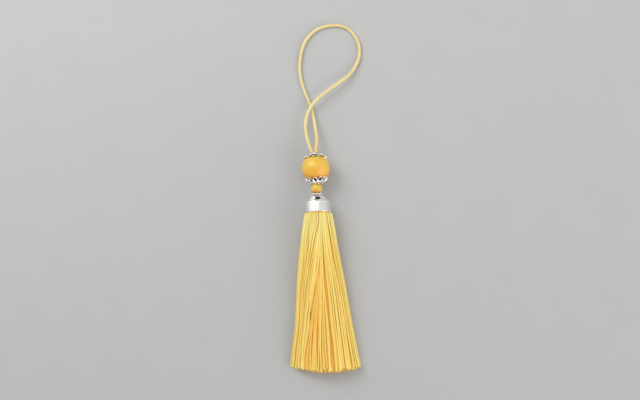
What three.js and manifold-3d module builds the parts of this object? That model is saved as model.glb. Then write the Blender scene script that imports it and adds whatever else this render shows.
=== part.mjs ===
import * as THREE from 'three';
import { mergeGeometries, mergeVertices } from 'three/addons/utils/BufferGeometryUtils.js';
import Module from 'manifold-3d';

const wasm = await Module();
wasm.setup();

// A pendant tassel lying on a surface, in millimetres, with Z up.
// Everything is strung along Y: the skirt runs towards -Y and the cord loop towards +Y.
// Places along Y are measured from the mouth of the tassel cap, heights from the surface.

// Tassel cap: a wide drum, open at its mouth, with a tapered collar on top
const capRadius = 5.65;
const capBore = 5.15;
const drumHeight = 4.7;
const stepHeight = 0.4;
const shoulderRadius = 4.65;
const collarRadius = 3.95;
const capHeight = 7.2;
const capRoof = 4.2;
const capEdge = 0.3;
const capEyeRadius = 1;
const capSides = 32;
const capAxis = capRadius * Math.cos(Math.PI / capSides);

// Beads: the large one is a little flat where it lies on the surface
const largeBeadRadius = 6;
const largeBeadPlace = 19.4;
const largeBeadAxis = 5.9;
const boreRadius = 1.95;
const boreDepth = 3;
const boreSides = 16;
const smallBeadRadius = 2.35;
const smallBeadPlace = 10.5;
const smallBeadAxis = 5.8;
const largeBeadFacets = { columns: 28, rows: 18 };
const smallBeadFacets = { columns: 20, rows: 12 };

// Filigree caps: thin petalled cups shaped on a ball, which they stand a little clear of.
// The large bead is the ball of two of them; the rosette is flatter, so its ball is wider than the small bead
const clearance = 0.3;
const upperFiligree = {
  ballRadius: largeBeadRadius,
  wall: 0.5,
  eye: boreRadius,
  petals: 12,
  turn: THREE.MathUtils.degToRad(-7),
  rimAngle: THREE.MathUtils.degToRad(51),
  notchAngle: THREE.MathUtils.degToRad(11),
  hollowAngle: THREE.MathUtils.degToRad(35),
};
const lowerFiligree = {
  ...upperFiligree,
  eye: 1.4,
  turn: THREE.MathUtils.degToRad(10),
  rimAngle: THREE.MathUtils.degToRad(48),
  hollowAngle: THREE.MathUtils.degToRad(32.5),
};
const rosette = {
  ballRadius: 3.85,
  wall: 0.4,
  eye: 0.9,
  petals: 8,
  rimAngle: THREE.MathUtils.degToRad(35),
  notchAngle: THREE.MathUtils.degToRad(7),
};
const rosettePlace = smallBeadPlace + 1.5;
const hollowWidth = 1.2;
const hollowLength = 1.5;
const hollowFloor = 0.2;
const stepsPerPetal = 4;
const stepsToRim = 2;

// Skirt: a head inside the cap, and the locks of thread that hang from it
const headRadius = 4.75;
const headTop = capRoof - clearance;
const headBottom = -0.6;
const headSides = 24;
const tipRound = 2.3;
const tipSkew = 0.9;
const tipUneven = 0.8;
const tipSeed = 11;

// Outline of the bundle of locks, a row for each cross-section down the skirt.
// along: distance below the mouth; halfWidth, top, bottom: how far the bundle reaches;
// belt: height of its widest place; lock: side of one square lock;
// layer, side: how far each layer of locks lies inside the last, upwards and sideways
const sections = [
  { along: 0.2, halfWidth: 4.6, top: 10.2, belt: 5.62, bottom: 1.02, lock: 0.3, layer: 0.9, side: 0.9 },
  { along: 1.2, halfWidth: 6, top: 11.4, belt: 5.5, bottom: 0.25, lock: 0.34, layer: 1.1, side: 1.1 },
  { along: 8, halfWidth: 7.5, top: 11.2, belt: 3.8, bottom: 0, lock: 0.42, layer: 1.15, side: 1.4 },
  { along: 22, halfWidth: 9.6, top: 10.4, belt: 1.9, bottom: 0, lock: 0.52, layer: 1.15, side: 1.65 },
  { along: 42, halfWidth: 11.8, top: 9, belt: 0.9, bottom: 0, lock: 0.64, layer: 1.1, side: 2 },
  { along: 68.3, halfWidth: 15, top: 7.4, belt: 0.38, bottom: 0, lock: 0.76, layer: 1, side: 2.35 },
];

// Layers of locks from the outside in, each an arch of locks over a row of locks.
// arch, row: how many locks; margin: share of the row's half-ring left free at each end
const layers = [
  { arch: 28, row: 26, margin: 0 },
  { arch: 22, row: 20, margin: 0.03 },
  { arch: 14, row: 15, margin: 0.05 },
  { arch: 0, row: 9, margin: 0.14 },
];

// Hanging cord, from the left of the large bead's bore, over itself, round the loop and back to the right
const cordRadius = 0.7;
const cordSides = 8;
const cordSteps = 80;
const cordRoute = [
  { x: -0.91, y: 23.2, z: 5.9 },
  { x: -0.93, y: 25.8, z: 5.9 },
  { x: -1.5, y: 27.2, z: 5.85 },
  { x: -2.2, y: 29.3, z: 5.4 },
  { x: -2.95, y: 32, z: 4.7 },
  { x: -3.4, y: 35, z: 4 },
  { x: -3.6, y: 38.5, z: 3.4 },
  { x: -3.1, y: 42, z: 3 },
  { x: -2.1, y: 44.8, z: 2.9 },
  { x: -0.6, y: 47.3, z: 2.9 },
  { x: 2.7, y: 50.7, z: 3 },
  { x: 7.2, y: 54, z: 3 },
  { x: 12.4, y: 57.4, z: 2.6 },
  { x: 17.2, y: 61.3, z: 1.65 },
  { x: 19.5, y: 64.5, z: 1.1 },
  { x: 21, y: 67.7, z: 0.85 },
  { x: 21.7, y: 71.3, z: 0.75 },
  { x: 21.3, y: 75, z: 0.75 },
  { x: 19.8, y: 78.4, z: 0.75 },
  { x: 17.5, y: 81.1, z: 0.75 },
  { x: 14.5, y: 82.8, z: 0.75 },
  { x: 11, y: 83.4, z: 0.75 },
  { x: 7.1, y: 83.1, z: 0.75 },
  { x: 3.5, y: 81.9, z: 0.75 },
  { x: 0.4, y: 79.6, z: 0.75 },
  { x: -2.1, y: 76.4, z: 0.75 },
  { x: -3.7, y: 72.4, z: 0.75 },
  { x: -4.6, y: 68.2, z: 0.75 },
  { x: -4.9, y: 64.1, z: 0.75 },
  { x: -4.5, y: 59.6, z: 0.75 },
  { x: -3.4, y: 55, z: 0.78 },
  { x: -1.9, y: 50.7, z: 0.85 },
  { x: -0.8, y: 47.3, z: 1 },
  { x: 0.1, y: 42.6, z: 1.7 },
  { x: 0.6, y: 38.4, z: 2.7 },
  { x: 1, y: 34.2, z: 3.8 },
  { x: 0.93, y: 30.5, z: 5 },
  { x: 0.52, y: 28, z: 5.7 },
  { x: 0.58, y: 25.8, z: 5.9 },
  { x: 0.6, y: 23.2, z: 5.9 },
];

// Drops normals and texture places, shares the vertices and leaves out collapsed triangles
function closed(geometry) {
  geometry.deleteAttribute('normal');
  geometry.deleteAttribute('uv');
  const shared = mergeVertices(geometry);
  const corners = Array.from(shared.index.array);
  const kept = [];
  for (let i = 0; i < corners.length; i += 3) {
    const triangle = corners.slice(i, i + 3);
    if (new Set(triangle).size === 3) kept.push(...triangle);
  }
  shared.setIndex(kept);
  return shared;
}

function toSolid(geometry) {
  const shape = closed(geometry);
  return new wasm.Manifold(new wasm.Mesh({
    numProp: 3,
    vertProperties: new Float32Array(shape.attributes.position.array),
    triVerts: new Uint32Array(shape.index.array),
  }));
}

function toGeometry(solid) {
  const mesh = solid.getMesh();
  const geometry = new THREE.BufferGeometry();
  geometry.setAttribute('position', new THREE.BufferAttribute(mesh.vertProperties, 3));
  geometry.setIndex(new THREE.BufferAttribute(mesh.triVerts, 1));
  return geometry;
}

// A closed profile of [radius, place] points turned about the Y axis, from its first side at `start`
function turned(profile, sides, start) {
  const points = [...profile, profile[0]].map(([radius, place]) => new THREE.Vector2(radius, place));
  return new THREE.LatheGeometry(points, sides, start);
}

// The cup's profile, turned so that one of its flat sides faces straight down
function tasselCap() {
  const profile = [
    [capRadius, 0],
    [capRadius, drumHeight - capEdge],
    [capRadius - 0.5 * capEdge, drumHeight],
    [shoulderRadius, drumHeight + stepHeight],
    [collarRadius, capHeight - 2 * capEdge],
    [collarRadius - 2 * capEdge, capHeight],
    [capEyeRadius, capHeight],
    [capEyeRadius, capRoof],
    [capBore, capRoof],
    [capBore, 0],
  ];
  return closed(turned(profile, capSides, Math.PI / capSides));
}

function bead(radius, { columns, rows }) {
  return new THREE.SphereGeometry(radius, columns, rows);
}

// The large bead, cut flat underneath, with the end of its bore that the cord goes into
function boredBead() {
  const below = new THREE.BoxGeometry(2 * largeBeadRadius, 2 * largeBeadRadius, 2 * largeBeadRadius);
  below.translate(0, 0, -largeBeadAxis - largeBeadRadius);
  const bore = new THREE.CylinderGeometry(boreRadius, boreRadius, 2 * boreDepth, boreSides);
  bore.translate(0, largeBeadRadius, 0);
  const ball = toSolid(bead(largeBeadRadius, largeBeadFacets));
  return toGeometry(ball.subtract(toSolid(below)).subtract(toSolid(bore)));
}

// A spherical cup round the +Y end of its ball, its rim drawn out into pointed petals
function petalCup({ ballRadius, wall, eye, petals, rimAngle, notchAngle }) {
  const inner = ballRadius + clearance;
  const outer = inner + wall;
  const eyeAngle = Math.asin(eye / inner);
  const span = rimAngle - eyeAngle;
  const profile = [];
  for (let i = 0; i <= stepsToRim; i += 1) {
    const angle = rimAngle - span * i / stepsToRim;
    profile.push([outer * Math.sin(angle), outer * Math.cos(angle)]);
  }
  for (let i = 0; i <= stepsToRim; i += 1) {
    const angle = eyeAngle + span * i / stepsToRim;
    profile.push([inner * Math.sin(angle), inner * Math.cos(angle)]);
  }
  const cup = turned(profile, petals * stepsPerPetal, 0);
  const corner = new THREE.Vector3();
  const polar = new THREE.Spherical();
  const places = cup.attributes.position;
  for (let i = 0; i < places.count; i += 1) {
    polar.setFromVector3(corner.fromBufferAttribute(places, i));
    const turn = polar.theta / (2 * Math.PI) * petals;
    const towardsNotch = 2 * Math.abs(turn - Math.round(turn));
    const share = (polar.phi - eyeAngle) / span;
    polar.phi = eyeAngle + share * (span - notchAngle * towardsNotch);
    corner.setFromSpherical(polar);
    places.setXYZ(i, corner.x, corner.y, corner.z);
  }
  return closed(cup);
}

// The pointed hollow of one petal at `lean` from +Y, with its floor at `floor` from the ball's middle
function petalHollow(lean, floor, depth, turn) {
  const outline = new THREE.Shape([
    new THREE.Vector2(-0.3 * hollowWidth, -0.5 * hollowLength),
    new THREE.Vector2(0.3 * hollowWidth, -0.5 * hollowLength),
    new THREE.Vector2(0.5 * hollowWidth, 0),
    new THREE.Vector2(0, 0.5 * hollowLength),
    new THREE.Vector2(-0.5 * hollowWidth, 0),
  ]);
  const hollow = new THREE.ExtrudeGeometry(outline, { depth, bevelEnabled: false });
  const outwards = new THREE.Vector3(0, Math.cos(lean), Math.sin(lean));
  const toTip = new THREE.Vector3(0, -Math.sin(lean), Math.cos(lean));
  const across = new THREE.Vector3().crossVectors(toTip, outwards);
  hollow.applyMatrix4(new THREE.Matrix4().makeBasis(across, toTip, outwards));
  hollow.translate(0, floor * outwards.y, floor * outwards.z);
  hollow.rotateY(turn);
  return hollow;
}

// A petal cup with one hollow sunk in each petal
function filigreeCup(filigree) {
  const { ballRadius, wall, petals, hollowAngle } = filigree;
  const floor = ballRadius + clearance + hollowFloor;
  const hollows = [];
  for (let i = 0; i < petals; i += 1) {
    hollows.push(petalHollow(hollowAngle, floor, wall, i * 2 * Math.PI / petals));
  }
  return toGeometry(toSolid(petalCup(filigree)).subtract(toSolid(mergeGeometries(hollows))));
}

// Where the locks of one half of a layer cross one section: `rise` is +1 for the arch, -1 for the row
function halfRing(section, layer, rise) {
  const inset = section.lock / 2 + layer * section.layer;
  const low = section.bottom + inset;
  const high = section.top - inset;
  const belt = Math.max(section.belt, low);
  const halfWidth = section.halfWidth - section.lock / 2 - layer * section.side;
  const reach = rise > 0 ? high - belt : belt - low;
  const curve = new THREE.EllipseCurve(0, 0, halfWidth, reach, Math.PI, 0, true);
  return (share) => {
    const point = curve.getPointAt(share);
    return { x: point.x, z: belt + rise * point.y };
  };
}

// One tapered lock of four sides, bent through its centres in the sections
function lockGeometry(centres) {
  const lock = new THREE.BoxGeometry(1, 1, 1, 1, sections.length - 1, 1);
  const places = lock.attributes.position;
  for (let i = 0; i < places.count; i += 1) {
    const station = Math.round((0.5 - places.getY(i)) * (sections.length - 1));
    const { x, along, z } = centres[station];
    const size = sections[station].lock;
    places.setXYZ(i, x + size * places.getX(i), -along, z + size * places.getZ(i));
  }
  return lock;
}

// How far down the lock at `x` is cut: longest in the middle, a little longer on the right, uneven
function tipAlong(x) {
  const { along, halfWidth } = sections.at(-1);
  const share = x / halfWidth;
  return along - tipRound * share ** 2 + tipSkew * share - tipUneven * THREE.MathUtils.seededRandom();
}

function locksOfHalf(layer, count, margin, rise) {
  const rings = sections.map((section) => halfRing(section, layer, rise));
  return Array.from({ length: count }, (_, i) => {
    const share = THREE.MathUtils.lerp(margin, 1 - margin, i / (count - 1));
    const centres = rings.map((ring, j) => ({ ...ring(share), along: sections[j].along }));
    const tip = centres.at(-1);
    tip.along = tipAlong(tip.x);
    return lockGeometry(centres);
  });
}

// The head and all the locks, fused where the locks' roots enter the head
function skirt() {
  THREE.MathUtils.seededRandom(tipSeed);
  const locks = layers.flatMap(({ arch, row, margin }, layer) => [
    ...locksOfHalf(layer, arch, 1 / (arch + 1), 1),
    ...locksOfHalf(layer, row, margin, -1),
  ]);
  const head = new THREE.CylinderGeometry(headRadius, headRadius, headTop - headBottom, headSides);
  head.translate(0, (headTop + headBottom) / 2, capAxis);
  return toGeometry(toSolid(head).add(toSolid(mergeGeometries(locks))));
}

function hangingCord() {
  const corners = Array.from({ length: cordSides }, (_, i) => {
    const turn = (i + 0.5) * 2 * Math.PI / cordSides;
    return new THREE.Vector2(cordRadius * Math.cos(turn), cordRadius * Math.sin(turn));
  });
  const extrudePath = new THREE.CatmullRomCurve3(cordRoute.map(({ x, y, z }) => new THREE.Vector3(x, y, z)));
  const tube = new THREE.ExtrudeGeometry(new THREE.Shape(corners), { steps: cordSteps, extrudePath });
  return closed(tube);
}

function piece(name, geometry, finish) {
  const mesh = new THREE.Mesh(geometry, new THREE.MeshStandardMaterial(finish));
  mesh.name = name;
  return mesh;
}

const silver = { color: 0xd4d3cf, roughness: 0.18, metalness: 1 };
const polishedSilver = { color: 0xe2e1de, roughness: 0.1, metalness: 1 };
const amberYellow = { color: 0xf0ad3c, roughness: 0.2, metalness: 0 };
const silkYellow = { color: 0xf4bd45, roughness: 0.55, metalness: 0 };
const paleYellow = { color: 0xeed57a, roughness: 0.6, metalness: 0 };

const cap = piece('tassel_cap', tasselCap(), polishedSilver);
cap.position.set(0, 0, capAxis);

const smallBead = piece('small_bead', closed(bead(smallBeadRadius, smallBeadFacets)), amberYellow);
smallBead.position.set(0, smallBeadPlace, smallBeadAxis);
const smallCap = piece('small_bead_cap', petalCup(rosette), silver);
smallCap.position.set(0, rosettePlace, smallBeadAxis);
smallCap.rotation.x = Math.PI;

const largeBead = piece('large_bead', boredBead(), amberYellow);
const upperCap = piece('upper_bead_cap', filigreeCup(upperFiligree), silver);
upperCap.rotation.y = upperFiligree.turn;
const lowerCap = piece('lower_bead_cap', filigreeCup(lowerFiligree), silver);
lowerCap.rotation.set(Math.PI, lowerFiligree.turn, 0);
const largeGroup = new THREE.Group();
largeGroup.position.set(0, largeBeadPlace, largeBeadAxis);
largeGroup.add(largeBead, upperCap, lowerCap);

const strung = new THREE.Group();
strung.add(piece('skirt', skirt(), silkYellow), cap, smallCap, smallBead, largeGroup);

// The origin is on the surface, under the middle of the tassel without its cord
const reach = new THREE.Box3().setFromObject(strung, true);
const middle = reach.getCenter(new THREE.Vector3());
const tassel = new THREE.Group();
tassel.position.set(-middle.x, -middle.y, -reach.min.z);
tassel.add(strung, piece('hanging_cord', hangingCord(), paleYellow));

export default tassel;
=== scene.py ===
# %% [markdown]
# # A pendant tassel
#
# The tassel lies on a table. A doubled cord makes the loop that it hangs by, two amber beads sit
# between silver filigree caps, and a polished silver cap holds a skirt of silky thread. The packed
# solids are the fixed frame of this lesson: places are read from them, and the dressed pieces take
# their stead without moving any of them.

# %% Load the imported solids
import math

import bmesh
import bpy
import numpy as np
from mathutils import Matrix, Vector


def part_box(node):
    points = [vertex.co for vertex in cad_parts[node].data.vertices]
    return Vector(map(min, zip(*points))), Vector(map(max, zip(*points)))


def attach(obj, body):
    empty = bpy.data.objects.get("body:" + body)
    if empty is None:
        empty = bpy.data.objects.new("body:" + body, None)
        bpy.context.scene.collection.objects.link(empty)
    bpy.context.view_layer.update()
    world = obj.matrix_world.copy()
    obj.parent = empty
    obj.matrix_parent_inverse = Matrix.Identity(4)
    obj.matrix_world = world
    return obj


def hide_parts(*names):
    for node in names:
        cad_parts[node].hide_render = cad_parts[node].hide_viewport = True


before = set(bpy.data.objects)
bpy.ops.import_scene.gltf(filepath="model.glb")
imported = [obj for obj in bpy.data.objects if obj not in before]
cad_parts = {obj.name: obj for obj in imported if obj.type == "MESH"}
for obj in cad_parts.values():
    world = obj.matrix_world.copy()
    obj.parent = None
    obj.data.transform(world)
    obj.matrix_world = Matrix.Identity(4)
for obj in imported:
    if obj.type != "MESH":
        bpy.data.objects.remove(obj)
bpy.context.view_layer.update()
MM = 0.001
print("solids:", ", ".join(sorted(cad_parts)))


# %% [markdown]
# ## Places
#
# Everything is strung along one line parallel to Y. The mouth of the tassel cap is the natural
# place to measure from, because the skirt hangs from it on one side and the beads are strung on the
# other. A bead's middle follows from the box of its solid and its own radius.

# %% Places along the tassel
def bead_place(node):
    """Middle and radius of a bead, from its solid: its far pole is drilled, its top isn't."""
    low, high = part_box(node)
    radius = (high.x - low.x) / 2
    middle = Vector(((low.x + high.x) / 2, low.y + radius, high.z - radius))
    return middle, radius


cap_low, cap_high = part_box("tassel_cap")
mouth = Vector((0, cap_low.y, (cap_low.z + cap_high.z) / 2))
large_middle, large_radius = bead_place("large_bead")
small_middle, small_radius = bead_place("small_bead")
print(f"mouth at {mouth.y / MM:.2f} mm, large bead at {large_middle.y / MM:.2f} mm")


# %% [markdown]
# ## Camera
#
# The picture looks almost straight down, from a little beyond the skirt's end, and the tassel leans
# slightly across it. A long lens, 60 cm away, keeps the skirt from looking foreshortened. The
# camera's three axes are written out, because a roll is easier to read that way than as angles.

# %% Camera
PICTURE_WIDTH = 640
FOCAL_PIXELS = 1400
SENSOR_WIDTH = 36
CAMERA_DISTANCE = 600 * MM
CAMERA_ELEVATION = math.radians(82)
CAMERA_ROLL = math.radians(2.8)
AIM_FROM_MOUTH = (1.17 * MM, 5.47 * MM)

aim = Vector((AIM_FROM_MOUTH[0], mouth.y + AIM_FROM_MOUTH[1], large_middle.z))
back = Vector((0, -math.cos(CAMERA_ELEVATION), math.sin(CAMERA_ELEVATION)))
level = Vector((1, 0, 0))
upright = back.cross(level)
camera_right = math.cos(CAMERA_ROLL) * level - math.sin(CAMERA_ROLL) * upright
camera_up = math.sin(CAMERA_ROLL) * level + math.cos(CAMERA_ROLL) * upright
turned = Matrix((camera_right, camera_up, back)).transposed().to_4x4()

camera = bpy.data.objects.new("camera", bpy.data.cameras.new("camera"))
bpy.context.scene.collection.objects.link(camera)
camera.matrix_world = Matrix.Translation(aim + CAMERA_DISTANCE * back) @ turned
camera.data.sensor_width = SENSOR_WIDTH
camera.data.lens = FOCAL_PIXELS / PICTURE_WIDTH * SENSOR_WIDTH
bpy.context.scene.camera = camera
print(f"camera lens {camera.data.lens:.1f} mm")


# %% [markdown]
# ## Building finishes from nodes
#
# Each finish is a small tree of nodes round one Principled shader. Two helpers keep the trees
# readable: one adds a node and fills its inputs by name, linking those that are sockets, and one
# does the same for sums.

# %% Helpers for nodes
def fill(socket, value):
    """Link a socket to another one, or set its own value."""
    if isinstance(value, bpy.types.NodeSocket):
        socket.id_data.links.new(value, socket)
    else:
        socket.default_value = value


def add(tree, kind, settings=None, **inputs):
    """A new node; inputs are named in lower case, with _ for a space."""
    made = tree.nodes.new(kind)
    for name, value in (settings or {}).items():
        setattr(made, name, value)
    for name, value in inputs.items():
        fill(made.inputs[name.replace("_", " ").title()], value)
    return made


def reckon(tree, operation, *values):
    """The result of a Math node on up to three values."""
    made = add(tree, "ShaderNodeMath", {"operation": operation})
    for socket, value in zip(made.inputs, values):
        fill(socket, value)
    return made.outputs[0]


# %% [markdown]
# ## Twisted fibres
#
# Both the cord and the skirt are made of twisted yarn: fine ridges climb round each strand. A
# shader group draws them once, from a UV map whose first number goes round a strand and whose
# second is the length along it in millimetres. Each yarn sets its own number of ridges and pitch.

# %% A node group for twisted yarn
YARN_UV = "yarn"


def twisted_yarn_group():
    """Ridge is 1 on top of a ply and 0 in the groove between two plies."""
    group = bpy.data.node_groups.new("twisted yarn", "ShaderNodeTree")
    for name in ("Plies", "Pitch"):
        group.interface.new_socket(name, in_out="INPUT", socket_type="NodeSocketFloat")
    group.interface.new_socket("Ridge", in_out="OUTPUT", socket_type="NodeSocketFloat")
    given = group.nodes.new("NodeGroupInput")
    result = group.nodes.new("NodeGroupOutput")
    strand = add(group, "ShaderNodeUVMap", {"uv_map": YARN_UV})
    place = add(group, "ShaderNodeSeparateXYZ", vector=strand.outputs["UV"])
    climb = reckon(group, "DIVIDE", place.outputs["Y"], given.outputs["Pitch"])
    turn = reckon(group, "ADD", place.outputs["X"], climb)
    phase = reckon(group, "MULTIPLY", turn, given.outputs["Plies"])
    slope = reckon(group, "PINGPONG", phase, 0.5)
    fill(result.inputs["Ridge"], reckon(group, "SINE", reckon(group, "MULTIPLY", slope, math.pi)))
    return group


twisted_yarn = twisted_yarn_group()


def yarn_ridges(tree, plies, pitch):
    """The twisted yarn group placed in a material."""
    made = add(tree, "ShaderNodeGroup", {"node_tree": twisted_yarn}, plies=plies, pitch=pitch)
    return made.outputs["Ridge"]


print("node groups:", [group.name for group in bpy.data.node_groups])


# %% [markdown]
# ## Tubes from arrays
#
# The cord and every thread of the skirt are tubes along a line. A curve with a bevel would do for
# one, but several hundred of them, with sections that turn as they go, would be slow to extrude
# ring by ring. One function sweeps a ring of points along many lines at once with arrays and joins
# them all in one mesh. It also writes the yarn's UV map, and a tint for each ring of points.

# %% Helpers for lines
def smooth_values(knots, values, places):
    """Values read off a smooth curve through the given ones (a cubic between each two knots)."""
    knots, values, places = (np.asarray(given, float) for given in (knots, values, places))
    slopes = np.gradient(values, knots, axis=0)
    left = np.clip(np.searchsorted(knots, places, side="right") - 1, 0, len(knots) - 2)
    gap = (knots[left + 1] - knots[left])[:, None]
    t = (places - knots[left])[:, None] / gap
    start = (1 + 2 * t) * (1 - t) ** 2 * values[left] + t * (1 - t) ** 2 * gap * slopes[left]
    end = t**2 * (3 - 2 * t) * values[left + 1] + t**2 * (t - 1) * gap * slopes[left + 1]
    return start + end


def walked(line):
    """Distance along a line, or along each of several lines, at each of its points."""
    steps = np.linalg.norm(np.diff(line, axis=-2), axis=-1)
    return np.concatenate([np.zeros_like(steps[..., :1]), np.cumsum(steps, axis=-1)], axis=-1)


def unit(vectors):
    """The same directions with a length of 1."""
    return vectors / np.linalg.norm(vectors, axis=-1, keepdims=True)


bent = np.array([(0, 0, 0), (3, 0, 0), (3, 4, 0)])
print("a bent line with sides of 3 and 4 is walked in", walked(bent)[-1])


# %% Helper for tubes
TINT = "tint"


def tubes(name, lines, radii, sides, tints):
    """One mesh of closed tubes: lines is (tubes, stations, 3), radii fits (tubes, stations, sides),
    and tints holds one value for each tube and station."""
    count, stations, _ = lines.shape
    tangents = unit(np.gradient(lines, axis=1))
    across = unit(np.cross(tangents, (0, 0, 1)))
    above = np.cross(across, tangents)
    turns = 2 * np.pi * np.arange(sides) / sides
    rings = np.cos(turns)[:, None] * across[:, :, None] + np.sin(turns)[:, None] * above[:, :, None]
    points = lines[:, :, None] + np.broadcast_to(radii, (count, stations, sides))[..., None] * rings

    corners = np.arange(count * stations * sides).reshape(count, stations, sides)
    near, far = corners[:, :-1], corners[:, 1:]
    walls = np.stack([near, far, np.roll(far, -1, 2), np.roll(near, -1, 2)], -1).reshape(-1, 4)
    ends = np.concatenate([corners[:, 0], corners[:, -1, ::-1]])
    mesh = bpy.data.meshes.new(name)
    mesh.from_pydata(points.reshape(-1, 3), [], walls.tolist() + ends.tolist())
    mesh.polygons.foreach_set("use_smooth", [True] * len(walls) + [False] * len(ends))

    lengths = walked(lines) / MM
    turn = np.broadcast_to(np.arange(sides) / sides, near.shape)
    first = np.broadcast_to(lengths[:, :-1, None], near.shape)
    last = np.broadcast_to(lengths[:, 1:, None], near.shape)
    step = 1 / sides
    wall_uv = np.stack([turn, first, turn, last, turn + step, last, turn + step, first], -1)
    yarn = mesh.uv_layers.new(name=YARN_UV)
    yarn.data.foreach_set("uv", np.concatenate([wall_uv.ravel(), np.zeros(2 * ends.size)]))
    tint = mesh.attributes.new(TINT, "FLOAT", "POINT")
    tint.data.foreach_set("value", np.repeat(tints, sides))
    return mesh


trial = tubes("trial", bent[None, [0, 2]].astype(float), 1, 6, np.zeros(2))
print("a short tube with 6 sides has", len(trial.polygons), "faces")
bpy.data.meshes.remove(trial)


# %% [markdown]
# ## Pieces in the frame
#
# Every finished mesh becomes an object at the origin, with its place in the mesh. It rides on the
# part's only body, and the solids that it stands for are hidden. The solids themselves are never
# moved.

# %% Helper for pieces
def place_piece(mesh, finish, slot, *nodes):
    """Put a mesh in the scene as the piece that stands for these solids."""
    piece = bpy.data.objects.new(mesh.name, mesh)
    bpy.context.scene.collection.objects.link(piece)
    mesh.materials.append(finish)
    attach(piece, "root")
    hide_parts(*nodes)
    mesh.calc_loop_triangles()
    print(f"{piece.name}: {len(mesh.loop_triangles)} triangles")
    return piece


# %% [markdown]
# ## From masks to shaders
#
# Every finish starts from the Principled shader of a new material. What changes over the surface is
# linked to it: a ramp turns a mask into colours, a range says how rough it is, and a Bump node
# raises what is too fine for the mesh. What is the same all over is set on the shader's own
# sockets, where it is easy to find.

# %% Helpers for masks
def object_coords(tree):
    """Places on the piece, in metres from the origin."""
    return add(tree, "ShaderNodeTexCoord").outputs["Object"]


def stretched(tree, coords, **placing):
    """Coordinates that a Mapping node has turned and scaled."""
    return add(tree, "ShaderNodeMapping", vector=coords, **placing).outputs["Vector"]


def noise(tree, coords, scale, detail, **more):
    """Soft noise from 0 to 1, with its scale in ripples for each metre."""
    return add(tree, "ShaderNodeTexNoise", vector=coords, scale=scale, detail=detail, **more).outputs["Fac"]


def mesh_value(tree, name):
    """What an attribute of the mesh says."""
    return add(tree, "ShaderNodeAttribute", {"attribute_name": name}).outputs["Fac"]


def window(tree, value, start, end, top=1):
    """0 up to the start of a window in a value's range, rising to the top at its end."""
    made = add(tree, "ShaderNodeMapRange", value=value, from_min=start, from_max=end, to_max=top)
    return made.outputs["Result"]


def spread(tree, value, low, high):
    """A value from 0 to 1 carried over to the range from low to high."""
    return add(tree, "ShaderNodeMapRange", value=value, to_min=low, to_max=high).outputs["Result"]


# %% Helpers for colours
MIX_FACTOR, MIX_FIRST, MIX_SECOND, MIX_RESULT = 0, 6, 7, 2  # places of a Mix node's colour sockets


def ramp(tree, factor, *stops):
    """A colour that runs through (place, colour) stops."""
    made = add(tree, "ShaderNodeValToRGB", fac=factor)
    elements = made.color_ramp.elements
    elements[0].position, elements[1].position = stops[0][0], stops[-1][0]
    elements[0].color, elements[1].color = (*stops[0][1], 1), (*stops[-1][1], 1)
    for place, colour in stops[1:-1]:
        elements.new(place).color = (*colour, 1)
    return made.outputs["Color"]


def blended(tree, factor, first, second):
    """A mix of two colours, whose sockets go by number: the first one at 0, the second one at 1."""
    made = add(tree, "ShaderNodeMix", {"data_type": "RGBA"})
    for place, value in ((MIX_FACTOR, factor), (MIX_FIRST, first), (MIX_SECOND, second)):
        fill(made.inputs[place], value)
    return made.outputs[MIX_RESULT]


# %% Helpers for shaders
def new_finish(name):
    """A new material, its tree and its Principled shader."""
    finish = bpy.data.materials.new(name)
    finish.use_nodes = True
    return finish, finish.node_tree, finish.node_tree.nodes["Principled BSDF"]


def set_plain(shader, values):
    """Set the shader's own sockets to what is the same all over the surface."""
    for name, value in values.items():
        shader.inputs[name].default_value = value


def raise_bump(tree, shader, height, distance):
    """Feed a height map to the shader as bump of the given depth in metres."""
    bump = add(tree, "ShaderNodeBump", height=height, distance=distance)
    fill(shader.inputs["Normal"], bump.outputs["Normal"])


# %% [markdown]
# ## Cord finish
#
# The cord is pale yellow satin yarn. Its colour is painted lighter on the fibres' tops and warmer
# and darker in the grooves between them, as painted shade, and a soft gloss with some sheen gives
# the bright line along its top. Its last stretch, where it goes back into the bead, is a deeper
# orange, which the tube's tint says. A picture of yarn could be wrapped round it, but nodes stay
# sharp from near by.

# %% Pale satin cord finish
PALE_CORD = ((0.15, (0.73, 0.55, 0.18)), (0.55, (0.79, 0.64, 0.275)), (0.9, (0.83, 0.72, 0.39)))
WARM_CORD = (0.92, 0.5, 0.1, 1)
CORD_GROOVE_SHADE_SHARE = 0.45
CORD_ROUGHNESS = (0.5, 0.36)
CORD_FIBRE_HEIGHT = 0.03 * MM


def satin_cord_finish():
    """Painted lighter on the fibres' tops and darker, warmer shade in the grooves; deeper orange towards
    its last end.
    """
    finish, tree, shader = new_finish("pale satin cord")
    ridge = yarn_ridges(tree, plies=14, pitch=5.2)
    patches = noise(tree, object_coords(tree), scale=160, detail=2)
    patchy = reckon(tree, "MULTIPLY", patches, 1 - CORD_GROOVE_SHADE_SHARE)
    # Painted shade: the ridge mask makes the colour warmer and darker in the grooves and paler on the
    # fibres' tops.
    pale = ramp(tree, reckon(tree, "MULTIPLY_ADD", ridge, CORD_GROOVE_SHADE_SHARE, patchy), *PALE_CORD)
    fill(shader.inputs["Base Color"], blended(tree, mesh_value(tree, TINT), pale, WARM_CORD))
    fill(shader.inputs["Roughness"], spread(tree, ridge, *CORD_ROUGHNESS))
    raise_bump(tree, shader, ridge, CORD_FIBRE_HEIGHT)
    set_plain(shader, {"Sheen Weight": 0.25, "Sheen Roughness": 0.4, "Specular IOR Level": 0.45})
    return finish


satin_cord = satin_cord_finish()
print("finish:", satin_cord.name)


# %% [markdown]
# ## Hanging cord
#
# One cord leaves the left of the large bead's bore, crosses over itself, lies round in a loop on
# the table and goes back in at the right. It could be a curve with a bevel, but three plies laid
# together show at the edge of a real cord, so its section has three shallow lobes that turn with
# length. The route is the one that the solid follows, point by point, from the mouth of the cap.

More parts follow.
